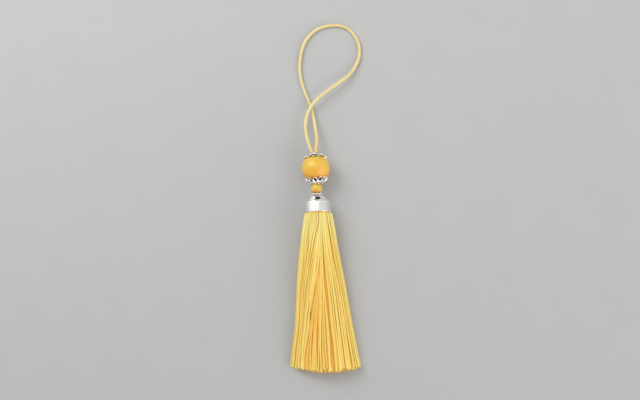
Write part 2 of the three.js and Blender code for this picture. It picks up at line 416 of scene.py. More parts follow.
# %% Route of the hanging cord
CORD_STEP = 0.3 * MM
CORD_ROUTE = [
    (-0.91, 23.2, 5.9),
    (-0.93, 25.8, 5.9),
    (-1.5, 27.2, 5.85),
    (-2.2, 29.3, 5.4),
    (-2.95, 32, 4.7),
    (-3.4, 35, 4),
    (-3.6, 38.5, 3.4),
    (-3.1, 42, 3),
    (-2.1, 44.8, 2.9),
    (-0.6, 47.3, 2.9),
    (2.7, 50.7, 3),
    (7.2, 54, 3),
    (12.4, 57.4, 2.6),
    (17.2, 61.3, 1.65),
    (19.5, 64.5, 1.1),
    (21, 67.7, 0.85),
    (21.7, 71.3, 0.75),
    (21.3, 75, 0.75),
    (19.8, 78.4, 0.75),
    (17.5, 81.1, 0.75),
    (14.5, 82.8, 0.75),
    (11, 83.4, 0.75),
    (7.1, 83.1, 0.75),
    (3.5, 81.9, 0.75),
    (0.4, 79.6, 0.75),
    (-2.1, 76.4, 0.75),
    (-3.7, 72.4, 0.75),
    (-4.6, 68.2, 0.75),
    (-4.9, 64.1, 0.75),
    (-4.5, 59.6, 0.75),
    (-3.4, 55, 0.78),
    (-1.9, 50.7, 0.85),
    (-0.8, 47.3, 1),
    (0.1, 42.6, 1.7),
    (0.6, 38.4, 2.7),
    (1, 34.2, 3.8),
    (0.93, 30.5, 5),
    (0.52, 28, 5.7),
    (0.58, 25.8, 5.9),
    (0.6, 23.2, 5.9),
]

route = np.array(CORD_ROUTE) * MM + (0, mouth.y, 0)
route_length = walked(route)[-1]
cord_stations = np.linspace(0, route_length, int(route_length / CORD_STEP))
cord_line = smooth_values(walked(route), route, cord_stations)
cord_walk = walked(cord_line)
print(f"cord measures {cord_walk[-1] / MM:.1f} mm along its middle")


# %% Hanging cord
CORD_DIAMETER = 1.4 * MM
CORD_SIDES = 18
CORD_PLIES = 3
CORD_LAY = 5.5 * MM
PLY_GROOVE = 0.1
WARM_LENGTH = 13 * MM
WARM_SHARE = 0.8

ply_turn = 2 * np.pi * (np.arange(CORD_SIDES) / CORD_SIDES - (cord_walk / CORD_LAY)[:, None])
groove = 0.5 - 0.5 * np.cos(CORD_PLIES * ply_turn)
cord_radii = CORD_DIAMETER / 2 * (1 - PLY_GROOVE * groove)
warmth = WARM_SHARE * np.clip((cord_walk - cord_walk[-1] + WARM_LENGTH) / WARM_LENGTH, 0, 1)
cord_mesh = tubes("hanging_loop_cord", cord_line[None], cord_radii[None], CORD_SIDES, warmth)
cord = place_piece(cord_mesh, satin_cord, "nylon_cord", "hanging_cord")


# %% [markdown]
# ## Silky thread finish
#
# Rayon thread is golden and glossy, and no two threads catch the light alike. Each thread carries
# its own tint as a mesh attribute, from deep orange to pale gold, and slow streaks along the length
# vary it further; the tint holds the thread's own tone and also painted shade and painted highlights.
# The single fibres are raised by bump, because they are finer than a tube's sides, and their colour
# is painted lighter on their tops and darker in the grooves between them, as painted shade.

# %% Silky thread finish
THREAD_GOLDS = (
    (0.0, (0.85, 0.37, 0.034)),
    (0.3, (0.88, 0.5, 0.072)),
    (0.6, (0.9, 0.63, 0.135)),
    (0.8, (0.905, 0.715, 0.195)),
    (1.0, (0.91, 0.815, 0.3)),
)
THREAD_STREAK = (-0.16, 0.16)
# Painted shade: how much darker the grooves between the fibres are, and how much lighter their tops.
THREAD_GROOVE_SHADE = (-0.07, 0.05)
THREAD_ROUGHNESS = (0.52, 0.38)
THREAD_FIBRE_HEIGHT = 0.02 * MM


def silky_thread_finish():
    """Golden by the thread's tint, with streaks along it and fine fibres round it, painted lighter on top
    and darker in their grooves.
    """
    finish, tree, shader = new_finish("golden silky thread")
    ridge = yarn_ridges(tree, plies=9, pitch=3.4)
    drawn = stretched(tree, object_coords(tree), scale=(1, 0.1, 1))
    streak = spread(tree, noise(tree, drawn, scale=1100, detail=2), *THREAD_STREAK)
    painted_groove_shade = spread(tree, ridge, *THREAD_GROOVE_SHADE)
    mixed = reckon(tree, "ADD", reckon(tree, "ADD", mesh_value(tree, TINT), streak), painted_groove_shade)
    fill(shader.inputs["Base Color"], ramp(tree, mixed, *THREAD_GOLDS))
    fill(shader.inputs["Roughness"], spread(tree, ridge, *THREAD_ROUGHNESS))
    raise_bump(tree, shader, ridge, THREAD_FIBRE_HEIGHT)
    set_plain(shader, {"Sheen Weight": 0.15, "Sheen Roughness": 0.35, "Specular IOR Level": 0.5})
    return finish


silky_thread = silky_thread_finish()
print("finish:", silky_thread.name)


# %% [markdown]
# ## Skirt
#
# The skirt is a bundle of several hundred threads. Packed round in the cap's mouth, they bulge over
# its rim at once, sink to the table and fan out to a flat, wide end. Blender's hair could grow
# them, but hair leaves no mesh to hand on, so every thread is a tube. A table of cross-sections
# gives the bundle's outline: an arch over the widest place and a flatter curve below it. Rings of
# threads fill each section from the outside in, at even shares of the way round.

# %% Cross-sections of the skirt
SECTION_COLUMNS = ("along", "middle", "half_width", "top", "belt", "bottom")
SKIRT_SECTIONS = [
    (-2.5, 0.0, 4.9, 10.5, 5.62, 0.72),
    (-0.2, 0.05, 5.0, 10.6, 5.62, 0.65),
    (0.3, 0.1, 5.75, 11.25, 5.6, 0.1),
    (1.0, 0.14, 6.1, 11.45, 5.5, 0.0),
    (3.6, 0.12, 6.6, 11.5, 4.9, 0.0),
    (7.2, 0.0, 7.2, 11.3, 4.0, 0.0),
    (12.5, -0.18, 7.95, 11.0, 3.1, 0.0),
    (22.0, -0.2, 9.35, 10.4, 1.9, 0.0),
    (32.5, -0.1, 10.8, 9.7, 1.3, 0.0),
    (42.0, 0.12, 11.7, 9.0, 0.9, 0.0),
    (51.5, 0.25, 12.75, 8.4, 0.7, 0.0),
    (60.0, 0.15, 14.1, 7.9, 0.5, 0.0),
    (68.3, 0.12, 15.3, 7.4, 0.38, 0.0),
]
ROOT, TIP = SKIRT_SECTIONS[0][0], SKIRT_SECTIONS[-1][0]
print("skirt ends", TIP, "mm below the mouth")


# %% Outline of the skirt
THREAD_RADIUS = 0.42
NECK_SHARE = 0.68
BLOOM_LENGTH = 20.0
OUTLINE_SAMPLES = 400


def smooth_step(values, start, end):
    """0 before the start and 1 after the end, with a soft rise between them."""
    t = np.clip((values - start) / (end - start), 0, 1)
    return t * t * (3 - 2 * t)


def thread_radius(along):
    """Threads are pressed thin in the cap's mouth and bloom below it."""
    return THREAD_RADIUS * (NECK_SHARE + (1 - NECK_SHARE) * smooth_step(along, 0, BLOOM_LENGTH))


def section_at(along):
    """The outline's columns at one distance below the mouth, in millimetres."""
    table = np.array(SKIRT_SECTIONS).T
    columns = zip(SECTION_COLUMNS[1:], table[1:])
    return {name: np.interp(along, table[0], values) for name, values in columns}


def outline(section, radius):
    """Share of the way round, x and z of points from the lowest one over the right, the top and the left,
    and the whole way round in millimetres."""
    turn = np.linspace(-0.5 * np.pi, 1.5 * np.pi, OUTLINE_SAMPLES)
    x = (section["half_width"] - radius) * np.cos(turn)
    low = min(section["bottom"] + radius, section["belt"])
    rise = section["top"] - radius - section["belt"]
    z = section["belt"] + np.where(np.sin(turn) > 0, rise, section["belt"] - low) * np.sin(turn)
    distance = walked(np.stack([x, z], -1))
    return distance / distance[-1], x, z, distance[-1]


print(f"the skirt's end is {outline(section_at(TIP), 0)[-1]:.0f} mm round")


# %% [markdown]
# ## How the threads lie
#
# The outer threads lie in layers. They start together at a parting under the rim, and from there
# one layer after another fans out, on the left more than on the right, each over the edge of the
# next one towards the middle. A seam is the line between two layers. The table gives its place at
# each station down the skirt, as a share of the way round to the left of the top, and how far it
# gapes to show the deeper threads, which are painted redder as shade.

# %% Seams between the layers of threads
SEAM_STATIONS = (0, 6, 10, 16, 22, 28, 35, 45, 56, 68.3)
SIDE = 0.265  # share of the way round from the top to the bundle's side
SEAMS = [
    {"left": [-SIDE] * len(SEAM_STATIONS), "gape": [0] * len(SEAM_STATIONS)},
    {
        "left": [-0.105, -0.118, -0.128, -0.142, -0.153, -0.162, -0.17, -0.176, -0.18, -0.184],
        "gape": [0, 0.004, 0.014, 0.018, 0.01, 0.002, 0, 0, 0.002, 0.004],
    },
    {
        "left": [-0.032, -0.04, -0.044, -0.045, -0.043, -0.04, -0.041, -0.045, -0.055, -0.062],
        "gape": [0, 0, 0.002, 0.006, 0.014, 0.026, 0.028, 0.018, 0.016, 0.004],
    },
    {
        "left": [-0.024, -0.026, -0.026, -0.024, -0.022, -0.02, -0.018, -0.017, -0.016, -0.016],
        "gape": [0, 0, 0, 0, 0, 0, 0.008, 0.02, 0.024, 0.006],
    },
    {
        "left": [-0.018, -0.012, -0.008, -0.004, 0, 0.012, 0.028, 0.042, 0.056, 0.062],
        "gape": [0, 0, 0, 0.002, 0.006, 0.012, 0.012, 0.016, 0.016, 0.004],
    },
    {
        "left": [-0.014, -0.006, -0.003, 0, 0.004, 0.024, 0.058, 0.112, 0.14, 0.152],
        "gape": [0, 0, 0, 0, 0.002, 0.004, 0.006, 0.01, 0.014, 0.024],
    },
    {
        "left": [-0.012, 0, 0.026, 0.062, 0.094, 0.118, 0.142, 0.166, 0.18, 0.188],
        "gape": [0.02, 0.02, 0.016, 0.008, 0.003, 0, 0, 0, 0, 0],
    },
    {"left": [SIDE] * len(SEAM_STATIONS), "gape": [0] * len(SEAM_STATIONS)},
]
print(len(SEAMS), "seams, counted from the right")


# %% Threads of the layers
LAYER_THREADS = (11, 13, 4, 6, 7, 8, 17)  # from the right to the left
LAYER_UNREST = (0.2, 0.3, 2.1, 2.2, 2.1, 0.6, 0.3)  # how freely the threads of a layer lie
LAYER_TINT = (-0.09, -0.05, -0.09, -0.1, -0.08, 0.0, 0.0)
MIDDLE_LAYER = 3


def seam_at(number, along):
    """A seam's place and half its gape at each station."""
    seam = SEAMS[number]
    within = np.clip(along, 0, TIP)
    place = smooth_values(SEAM_STATIONS, np.array(seam["left"])[:, None], within)[:, 0]
    return place, np.interp(within, SEAM_STATIONS, seam["gape"]) / 2


print(len(LAYER_THREADS), "layers of", sum(LAYER_THREADS), "threads")


# %% [markdown]
# ## Habits of the threads
#
# No two threads lie alike. Each one wanders a little, is thicker or thinner, deeper or lighter in
# colour and cut shorter or longer than its neighbours, and small bunches of them share some of
# that. The deeper rings of threads are sunk under the middle, where the partings are; their colour
# is painted darker and redder as shade, and painted lighter again towards the sides. All of these
# habits are drawn once for each thread, from a seed, so every run makes the same skirt.

# %% Rings of threads
RINGS = 10
RING_STEP = 0.1  # share of the depth from one ring to the next
THREADS_ROUND = 81  # in an even ring on the outline
NO_LAYER = -1


def thread_places():
    """Rows of ring, place left of the top, layer and place across it, for one thread each."""
    rows = []
    for layer, count in enumerate(LAYER_THREADS):
        rows += [(0, 0, layer, (i + 0.5) / count) for i in range(count)]
    under = round(THREADS_ROUND * (1 - 2 * SIDE))
    rows += [(0, SIDE + (1 - 2 * SIDE) * (i + 0.5) / under, NO_LAYER, 0) for i in range(under)]
    for ring in range(1, RINGS):
        count = round(THREADS_ROUND * (1 - RING_STEP * ring))
        rows += [(ring, (i + 0.5 * (ring % 2)) / count - 0.5, NO_LAYER, 0) for i in range(count)]
    return np.array(rows).T


print(thread_places().shape[1], "threads in", RINGS, "rings")


# %% Habits of the threads
SEED = 23
BUNCH = 2  # threads that share some habits
GOLDEN = 0.618  # spreads the ranks evenly among neighbours
# Painted shade: the outer ring keeps its own tint, the deeper rings are painted darker and redder.
TINT_AND_SHADE_BY_RING = np.array([0.67, 0.3, 0.24] + [0.2] * (RINGS - 3))
# Painted light that eases the deeper threads' painted shade towards the sides.
SIDE_PAINTED_LIGHT = 0.18  # how much lighter the deeper threads get at the sides
TINT_UNEVEN, BUNCH_TINT = 0.1, 0.06
# Painted highlight: at most this much lighter at a thread's cut end.
END_PAINTED_HIGHLIGHT = 0.2
MIDDLE_SINK, MIDDLE_SPREAD = 0.085, 0.11  # depth of the sunk middle and its share of the way round
PLACE_UNEVEN, ACROSS_UNEVEN, DEPTH_UNEVEN = 0.003, 0.25, 0.25
STRAY, STRAY_FAR, FAR_SHARE = 0.0035, 0.01, 0.15  # this share of the threads strays far
BENDS = (0.6, 1.8)  # of a straying thread, over the whole length
LOOSE, BUNCH_LOOSE = 0.008, (-0.06, 0.01)
GIRTHS = (0.86, 1.08)
CUT_UNEVEN, BUNCH_CUT = 1.3, 0.6

chance = np.random.default_rng(SEED)


def draw_threads():
    """Arrays with one value for each thread."""
    ring, left, layer, across = thread_places()
    count = len(ring)
    ring, of_layer = ring.astype(int), layer.astype(int)
    bunch = np.arange(count) // BUNCH
    bunches = bunch[-1] + 1
    straying = np.where(chance.uniform(0, 1, count) < FAR_SHARE, STRAY_FAR, STRAY)
    layered = layer != NO_LAYER
    unrest = np.where(layered, np.array(LAYER_UNREST)[of_layer], 1)
    deeper_side_light = SIDE_PAINTED_LIGHT * np.clip(np.abs(left) / SIDE, 0, 1) ** 2 * (ring > 0)
    tint = TINT_AND_SHADE_BY_RING[ring] + np.where(layered, np.array(LAYER_TINT)[of_layer], deeper_side_light)
    sunk = MIDDLE_SINK * np.exp(-((left / MIDDLE_SPREAD) ** 2)) * (ring > 0)
    crowd = np.array(LAYER_THREADS)[of_layer]
    return {
        "ring": ring,
        "left": left + chance.uniform(-PLACE_UNEVEN, PLACE_UNEVEN, count),
        "layer": layer,
        "across": across + chance.uniform(-ACROSS_UNEVEN, ACROSS_UNEVEN, count) / crowd,
        "rank": GOLDEN * np.arange(count) % 1,
        "depth": 1 - sunk - RING_STEP * (ring + unrest * chance.uniform(0, DEPTH_UNEVEN, count)),
        "stray": np.minimum(unrest, 1) * straying * chance.normal(0, 1, count),
        "stray_phase": chance.uniform(0, 2 * np.pi, count),
        "bends": chance.uniform(*BENDS, count),
        "loose": unrest * (chance.normal(0, LOOSE, count) + chance.uniform(*BUNCH_LOOSE, bunches)[bunch]),
        "girth": chance.uniform(*GIRTHS, count),
        "twist": chance.uniform(0, 2 * np.pi, count),
        "cut": CUT_UNEVEN * chance.uniform(0, 1, count) + chance.uniform(0, BUNCH_CUT, bunches)[bunch],
        "tint": tint
        + unrest * chance.normal(0, TINT_UNEVEN, count)
        + chance.normal(0, BUNCH_TINT, bunches)[bunch],
        "end_highlight": chance.uniform(0, END_PAINTED_HIGHLIGHT, count),
    }


threads = draw_threads()
print("tints from", threads["tint"].min().round(2), "to", threads["tint"].max().round(2))


# %% [markdown]
# ## Lines of the threads
#
# A thread's line is worked out in the section's own terms: its place on the way round and its depth
# from the core change down its length, and the outline turns them into places. Where a layer is
# still too narrow for all of its threads, some of them stay behind the others, and they come up as
# it widens. The colour changes down a thread too: the outer ones get a yellow painted highlight near
# the top, all of them get painted shade right under the rim, their cut ends get a painted highlight,
# and the threads on the right are painted a little lighter.

# %% Places of the threads in their layers
BEHIND = 0.07  # depth of a thread that waits for room
COMING_UP = 0.12  # how gradually it comes up
SEAM_DIP = 0.03  # how far threads dip towards a seam
DIP_WIDTH = 0.012


def ways_round(along):
    """The whole way round the outline at each station, in millimetres."""
    return np.array([outline(section_at(place), 0)[-1] for place in along])


def lie_in_layer(number, thread, along):
    """Place left of the top, and how far behind the surface, of the threads of one layer."""
    right, right_gape = seam_at(number, along)
    left, left_gape = seam_at(number + 1, along)
    low, high = right + right_gape, left - left_gape
    places = low + (high - low) * thread["across"]
    room = (high - low) * ways_round(along) / LAYER_THREADS[number] / (2 * thread_radius(along))
    fitting = np.clip(room, 0, 1)
    behind = BEHIND * smooth_step(thread["rank"], fitting - COMING_UP, fitting + COMING_UP)
    if MIDDLE_LAYER <= number < len(LAYER_THREADS) - 1:
        behind = behind + SEAM_DIP * np.exp(-np.maximum(high - places, 0) / DIP_WIDTH)
    if 0 < number <= MIDDLE_LAYER:
        behind = behind + SEAM_DIP * np.exp(-np.maximum(places - low, 0) / DIP_WIDTH)
    return places, behind


widest = ways_round(SEAM_STATIONS).max()
print(f"room for {widest / (2 * THREAD_RADIUS):.0f} threads round the widest section")


# %% Places and depths of the threads
STRAY_BEGINS = 0.22  # share of the length
LOOSE_FROM, LOOSE_TO = 1, 24  # millimetres below the mouth
LEAST_DEPTH = 0.02


def picked(thread, mask, as_columns=False):
    """The habits of some threads only, as columns where stations go across."""
    some = {name: values[mask] for name, values in thread.items()}
    return {name: values[:, None] for name, values in some.items()} if as_columns else some


def places_and_depths(thread, along):
    """Place left of the top and depth of threads at each station; depth 1 is the outline, 0 is the core."""
    column = {name: values[:, None] for name, values in thread.items()}
    down = np.clip(along / TIP, 0, 1)
    places = np.repeat(column["left"], len(along), axis=1)
    behind = np.zeros_like(places)
    for number in range(len(LAYER_THREADS)):
        mine = thread["layer"] == number
        if mine.any():
            places[mine], behind[mine] = lie_in_layer(number, picked(thread, mine, True), along)
    straying = np.sin(2 * np.pi * column["bends"] * down + column["stray_phase"])
    places = places + column["stray"] * straying * smooth_step(down, 0, STRAY_BEGINS)
    depths = column["depth"] - behind + column["loose"] * smooth_step(along, LOOSE_FROM, LOOSE_TO)
    return places, np.clip(depths, LEAST_DEPTH, 1)


deepest = places_and_depths(threads, np.array(SEAM_STATIONS))[1].min()
print(f"the deepest thread is at {deepest:.2f} of the way out from the core")


# %% Lines of the threads
CORE_HEIGHT = 0.4  # share of the way from the belt to the top
CUT_ROUND = 2.3  # millimetres by which the sides are cut shorter
CUT_LEAN = 0.9  # millimetres taken off the left and left on at the right
# Painted highlight: the outer threads are painted lighter and yellower near the top.
TOP_HIGHLIGHT_LENGTH = 24.0
TOP_PAINTED_HIGHLIGHT = 0.29
# Painted shade: threads are painted deeper in colour right under the rim.
RIM_START, RIM_LENGTH = 0.2, 1.4
RIM_PAINTED_SHADE = 0.4
# Painted light: threads towards the right are painted a little lighter.
RIGHT_PAINTED_LIGHT = 0.02
TIP_GIRTH = 0.6
# Painted highlight on the last stations of a thread, at its cut end.
HIGHLIGHT_STATIONS = 3


def thread_lines(thread, along):
    """Middle lines of threads in metres, with their radii in millimetres and their tints."""
    places, depths = places_and_depths(thread, along)
    shares = (0.5 + places) % 1
    girth = thread_radius(along)
    lines = np.zeros((len(shares), len(along), 3))
    for j, station in enumerate(along):
        section = section_at(station)
        way, x, z, _ = outline(section, girth[j])
        core = section["belt"] + CORE_HEIGHT * (section["top"] - section["belt"])
        lines[:, j, 0] = section["middle"] + depths[:, j] * np.interp(shares[:, j], way, x)
        lines[:, j, 2] = core + depths[:, j] * (np.interp(shares[:, j], way, z) - core)
    lines[:, :, 2] = np.maximum(lines[:, :, 2], girth)
    side = lines[:, -1:, 0] / SKIRT_SECTIONS[-1][2]
    cut = CUT_ROUND * side**2 - CUT_LEAN * side + thread["cut"][:, None]
    lines[:, :, 1] = -(along - cut * (along - ROOT) / (TIP - ROOT))
    radii = thread["girth"][:, None] * girth
    radii[:, -1] *= TIP_GIRTH
    top_highlight = TOP_PAINTED_HIGHLIGHT * (thread["ring"] == 0)[:, None] * (1 - smooth_step(along, 0, TOP_HIGHLIGHT_LENGTH))
    rim = RIM_PAINTED_SHADE * (1 - smooth_step(along, RIM_START, RIM_LENGTH))
    tints = thread["tint"][:, None] + RIGHT_PAINTED_LIGHT * side + top_highlight - rim
    tints[:, -HIGHLIGHT_STATIONS:] += thread["end_highlight"][:, None]
    return lines * MM + (0, mouth.y, 0), radii, np.clip(tints, 0, 1)


print("threads are", 2 * THREAD_RADIUS, "mm thick")


# %% [markdown]
# ## Threads as twisted yarn
#
# Threads that can be seen get an oval section that turns as it goes, which is what two plies
# twisted together look like. Those inside the bundle and under it are plain round tubes with fewer
# sides, because only their ends and a glimpse between others ever show.

# %% Threads of the skirt
THREAD_PLY_LAY = 2.9
THREAD_PLY_GROOVE = 0.28
FINE_STATIONS = 181
FINE_SIDES = 8
PLAIN_STATIONS = [ROOT, -0.2, 0.45, 1.0, 2.0, 3.6, *np.linspace(5.5, TIP, 32)]
PLAIN_SIDES = 6


def twisted_threads(name, mask):
    """A piece of two-ply threads."""
    thread = picked(threads, mask)
    lines, radii, tints = thread_lines(thread, np.linspace(ROOT, TIP, FINE_STATIONS))
    lay = 2 * np.pi * walked(lines) / (THREAD_PLY_LAY * MM) + thread["twist"][:, None]
    turns = 2 * np.pi * np.arange(FINE_SIDES) / FINE_SIDES - lay[..., None]
    oval = 1 - THREAD_PLY_GROOVE * np.sin(turns) ** 2
    return tubes(name, lines, radii[..., None] * oval * MM, FINE_SIDES, tints)


def plain_threads(name, mask):
    """A piece of round threads with few stations."""
    lines, radii, tints = thread_lines(picked(threads, mask), np.array(PLAIN_STATIONS))
    return tubes(name, lines, radii[..., None] * MM, PLAIN_SIDES, tints)


outer = threads["layer"] != NO_LAYER
second = (threads["ring"] == 1) & (np.abs(threads["left"]) < SIDE)
skirt_meshes = [
    twisted_threads("skirt_outer_threads", outer),
    twisted_threads("skirt_second_threads", second),
    plain_threads("skirt_inner_threads", ~(outer | second)),
]
for mesh in skirt_meshes:
    place_piece(mesh, silky_thread, "silky_thread", "skirt")


# %% [markdown]
# ## Silver finishes
#
# Plated silver that has been handled isn't a perfect mirror: faint smudges dull it in patches,
# hairline scratches cross it, and a brown tarnish collects where no finger rubs it off. A shader
# group makes these three masks from Object coordinates, and both silver finishes use it. The
# filigree is also blackened in its hollows, as antique silver is, and a mesh attribute says where
# they are.

# %% A node group for handled silver
SMUDGE_WINDOW = (0.42, 0.68)
TARNISH_WINDOW = (0.5, 0.78)
SCRATCH_WINDOW = (0.55, 0.7)


def handled_silver_group():
    """Smudge, Tarnish and Scratch are masks from 0 to 1."""
    group = bpy.data.node_groups.new("handled silver", "ShaderNodeTree")
    for name in ("Patch Scale", "Scratch Scale"):
        group.interface.new_socket(name, in_out="INPUT", socket_type="NodeSocketFloat")
    for name in ("Smudge", "Tarnish", "Scratch"):
        group.interface.new_socket(name, in_out="OUTPUT", socket_type="NodeSocketFloat")
    given = group.nodes.new("NodeGroupInput").outputs
    result = group.nodes.new("NodeGroupOutput").inputs
    coords = object_coords(group)
    drawn = stretched(group, coords, rotation=(0.3, 0.5, 0.9), scale=(1, 0.06, 1))
    patches = noise(group, coords, given["Patch Scale"], detail=3)
    stains = noise(group, coords, given["Scratch Scale"], detail=5)
    hairs = noise(group, drawn, given["Scratch Scale"], detail=6)
    fill(result["Smudge"], window(group, patches, *SMUDGE_WINDOW))
    fill(result["Tarnish"], window(group, stains, *TARNISH_WINDOW))
    fill(result["Scratch"], window(group, hairs, *SCRATCH_WINDOW))
    return group


handled_silver = handled_silver_group()
print("node groups:", [group.name for group in bpy.data.node_groups])


# %% Silver finishes
HOLLOW = "hollow"
BLACKENED = (0.035, 0.024, 0.016, 1)
HOLLOW_ROUGHNESS = 0.3


def silver_finish(name, bright, dull, roughness, patch_scale, scratch_scale, scratch_depth):
    """Handled silver, blackened where the mesh's hollow attribute is 1."""
    finish, tree, shader = new_finish(name)
    scales = {"patch_scale": patch_scale, "scratch_scale": scratch_scale}
    wear = add(tree, "ShaderNodeGroup", {"node_tree": handled_silver}, **scales).outputs
    hollow = mesh_value(tree, HOLLOW)
    silver = ramp(tree, wear["Tarnish"], (0, bright), (1, dull))
    fill(shader.inputs["Base Color"], blended(tree, hollow, silver, BLACKENED))
    smudged = spread(tree, wear["Smudge"], *roughness)
    fill(shader.inputs["Roughness"], reckon(tree, "MULTIPLY_ADD", hollow, HOLLOW_ROUGHNESS, smudged))
    raise_bump(tree, shader, wear["Scratch"], scratch_depth)
    set_plain(shader, {"Metallic": 1})
    return finish


polished_silver = silver_finish(
    "polished silver",
    bright=(0.95, 0.95, 0.93),
    dull=(0.88, 0.87, 0.84),
    roughness=(0.1, 0.2),
    patch_scale=220,
    scratch_scale=900,
    scratch_depth=0.002 * MM,
)
filigree_silver = silver_finish(
    "filigree silver",
    bright=(0.99, 0.98, 0.96),
    dull=(0.88, 0.83, 0.78),
    roughness=(0.2, 0.32),
    patch_scale=500,
    scratch_scale=1800,
    scratch_depth=0.006 * MM,
)
print("finishes:", polished_silver.name, "and", filigree_silver.name)


# %% [markdown]
# ## Tassel cap
#
# The cap is a small spun cup: a drum over the threads, a rounded shoulder, a collar that narrows
# upwards and an eye for the cord. It could be stacked from cylinders, but spun metal has one
# profile all round, so a bmesh spin of that profile is the honest way to make it. The sharp rings
# are then bevelled, as thin sheet is never sharp.

# %% Helpers for turned pieces
TURNED_MERGE = 0.002 * MM
RING_BEVEL = 0.12 * MM
RING_SEGMENTS = 3


def turned_piece(profile, steps):
    """A bmesh of a (radius, place) profile in millimetres, spun all the way round the Y axis."""
    bm = bmesh.new()
    corners = [bm.verts.new((0, place * MM, radius * MM)) for radius, place in profile]
    sides = [bm.edges.new(pair) for pair in zip(corners, corners[1:])]
    bmesh.ops.spin(
        bm,
        geom=corners + sides,
        cent=(0, 0, 0),
        axis=(0, 1, 0),
        angle=2 * math.pi,
        steps=steps,
        use_merge=True,
    )
    bmesh.ops.remove_doubles(bm, verts=bm.verts, dist=TURNED_MERGE)
    bmesh.ops.recalc_face_normals(bm, faces=bm.faces)
    return bm


def bevel_rings(bm, sharper_than):
    """Bevel the edges whose faces meet at more than an angle in degrees, and count them."""
    limit = math.radians(sharper_than)
    sharp = [edge for edge in bm.edges if edge.is_manifold and edge.calc_face_angle() > limit]
    bmesh.ops.bevel(
        bm,
        geom=sharp,
        offset=RING_BEVEL,
        affect="EDGES",
        segments=RING_SEGMENTS,
        profile=0.5,
        material=-1,
    )
    return len(sharp)


def to_mesh(bm, name, middle):
    """Move a finished bmesh to its place and make it a smooth mesh."""
    bmesh.ops.translate(bm, verts=bm.verts, vec=middle)
    for face in bm.faces:
        face.smooth = True
    mesh = bpy.data.meshes.new(name)
    bm.to_mesh(mesh)
    bm.free()
    return mesh


trial = turned_piece([(2, 0), (3, 0), (3, 1), (2, 1), (2, 0)], steps=12)
print("a square ring turned in 12 steps has", len(trial.faces), "faces")
trial.free()


# %% Tassel cap
CAP_STEPS = 96
CAP_PROFILE = [
    (5.1, 0.0),
    (5.62, 0.0),
    (5.62, 0.35),
    (5.62, 4.05),
    (5.62, 4.4),
    (5.54, 4.64),
    (5.32, 4.82),
    (4.9, 4.92),
    (4.66, 5.05),
    (4.45, 5.5),
    (4.22, 5.97),
    (4.06, 6.33),
    (3.94, 6.6),
    (3.7, 6.85),
    (3.25, 7.02),
    (2.5, 7.1),
    (1.0, 7.1),
    (1.0, 4.3),
    (5.1, 4.3),
    (5.1, 0.0),
]

cap_bmesh = turned_piece(CAP_PROFILE, CAP_STEPS)
bevelled = bevel_rings(cap_bmesh, sharper_than=35)
cap_mesh = to_mesh(cap_bmesh, "polished_tassel_cap", mouth)
place_piece(cap_mesh, polished_silver, "polished_silver", "tassel_cap")
print(bevelled, "edges bevelled")


# %% [markdown]
# ## Amber beads
#
# The beads are cloudy yellow amber, or resin cast to look like it: paler clouds drift faintly
# through a deeper honey colour, and light goes in some way before it comes out, redder the further
# it went. Noise with some distortion gives the clouds, a large subsurface share gives the glow, and
# a mesh attribute says how near the lower end of its bead a place is, where a deeper orange is
# painted in as a glow of the light that comes out there.

# %% Amber finish
LOWER = "lower"
HONEY = ((0.3, (0.74, 0.48, 0.066)), (0.5, (0.75, 0.505, 0.074)), (0.7, (0.76, 0.53, 0.082)))
# Painted glow: the deeper orange mixed in towards the lower end of a bead.
LOWER_PAINTED_GLOW = (0.9, 0.36, 0.033, 1)
LOWER_GLOW_WINDOW = (-0.05, 0.85)
LOWER_GLOW_SHARE = 0.8
CLOUD_SHARE = 0.85
AMBER_ROUGHNESS = (0.3, 0.42)
AMBER_GRAIN_HEIGHT = 0.003 * MM
AMBER_GLOW = {"Subsurface Weight": 0.85, "Subsurface Radius": (1, 0.5, 0.16), "Subsurface Scale": 4 * MM}


def amber_finish():
    """Clouds and veils of honey colour, with a painted orange glow towards the bead's lower end."""
    finish, tree, shader = new_finish("cloudy amber")
    coords = object_coords(tree)
    clouds = noise(tree, coords, scale=140, detail=3, distortion=1.2)
    drawn = stretched(tree, coords, rotation=(0.4, 0.2, 0.7), scale=(1, 0.3, 1))
    veils = reckon(tree, "MULTIPLY", noise(tree, drawn, scale=420, detail=3), 1 - CLOUD_SHARE)
    honey = ramp(tree, reckon(tree, "MULTIPLY_ADD", clouds, CLOUD_SHARE, veils), *HONEY)
    painted_glow = window(tree, mesh_value(tree, LOWER), *LOWER_GLOW_WINDOW, top=LOWER_GLOW_SHARE)
    fill(shader.inputs["Base Color"], blended(tree, painted_glow, honey, LOWER_PAINTED_GLOW))
    fill(shader.inputs["Roughness"], spread(tree, clouds, *AMBER_ROUGHNESS))
    raise_bump(tree, shader, noise(tree, coords, scale=2600, detail=2), AMBER_GRAIN_HEIGHT)
    set_plain(shader, {**AMBER_GLOW, "Coat Weight": 0.08, "Coat Roughness": 0.15})
    return finish


amber = amber_finish()
print("finish:", amber.name)


# %% [markdown]
# ## Bead shapes
#
# A bead is a ball that was drilled from both ends. Booleans could drill it, but a profile is
# cleaner: it starts on the floor of one bore, goes over the ball and ends on the floor of the other
# bore, so one spin makes them all. The large bead is worn flat where it lies, which one bisect and
# a fill give.

# %% Beads
BEAD_STEPS = 72
BEAD_ARC_POINTS = 40


